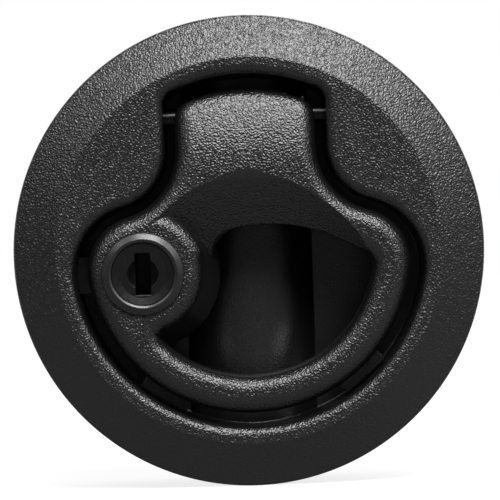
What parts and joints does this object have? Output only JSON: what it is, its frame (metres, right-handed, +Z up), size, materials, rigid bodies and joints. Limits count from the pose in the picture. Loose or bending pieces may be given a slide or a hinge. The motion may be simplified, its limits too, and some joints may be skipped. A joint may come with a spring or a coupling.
{
  "type": "flush pull latch",
  "caption": "Round flush pull latch with a locking, hinged finger pull in a recessed cup, a spring slam bolt and a rear clamp yoke.",
  "frame": {"origin": "centre of the round body, in the plane of the bezel's back face", "axes": "+Y into the panel along the body, +Z up towards the pull's pivot, +X to the right seen from the front"},
  "size_m": [0.062, 0.0326, 0.0623],
  "materials": {
    "textured_nylon": "black glass-filled nylon, fine spark texture",
    "smooth_nylon": "black nylon, smooth moulded",
    "lock_black": "satin black coated zinc casting",
    "plug_black": "semi-matt black coated zinc casting",
    "stainless": "drawn stainless steel",
    "spring_steel": "bright spring wire",
    "zinc_steel": "zinc plated steel",
    "brass": "stamped brass",
    "rubber_black": "moulded rubber"
  },
  "bodies": {
    "housing": {"cup_housing": "textured_nylon", "pivot_pin": "stainless", "handle_return_spring": "spring_steel", "pawl_spring": "spring_steel", "pawl_cover": "smooth_nylon", "cover_screws": "zinc_steel", "mounting_yoke": "smooth_nylon", "yoke_screws": "zinc_steel", "yoke_washers": "zinc_steel", "bumper_pads": "rubber_black", "panel_gasket": "rubber_black"},
    "handle": {"pull_handle": "textured_nylon", "lock_barrel": "lock_black", "barrel_clip": "spring_steel"},
    "pawl": {"pawl": "smooth_nylon"},
    "lock_plug": {"lock_plug": "plug_black", "wafer_tumblers": "brass", "wafer_springs": "spring_steel", "lock_cam": "zinc_steel", "cam_screw": "zinc_steel"}
  },
  "joints": [
    {"name": "handle_hinge", "type": "hinge", "parent": "housing", "child": "handle", "pos_m": [0, 0.0015, 0.01775], "axis": [-1, 0, 0], "range_deg": [0, 22], "stiffness_Nm_per_rad": 0.06, "springref_deg": -28.65, "deforming": ["handle_return_spring"]},
    {"name": "pawl_slide", "type": "slide", "parent": "housing", "child": "pawl", "axis": [0, 0, -1], "range_m": [0, 0.0074], "stiffness_N_per_m": 25, "springref_m": -0.012, "deforming": ["pawl_spring"]},
    {"name": "lock_turn", "type": "hinge", "parent": "handle", "child": "lock_plug", "pos_m": [-0.014, 0, -0.00265], "axis": [0, 1, 0], "range_deg": [0, 90]}
  ],
  "couplings": [
    {"joint": "pawl_slide", "follows": "handle_hinge", "m_per_rad": 0.0188}
  ]
}
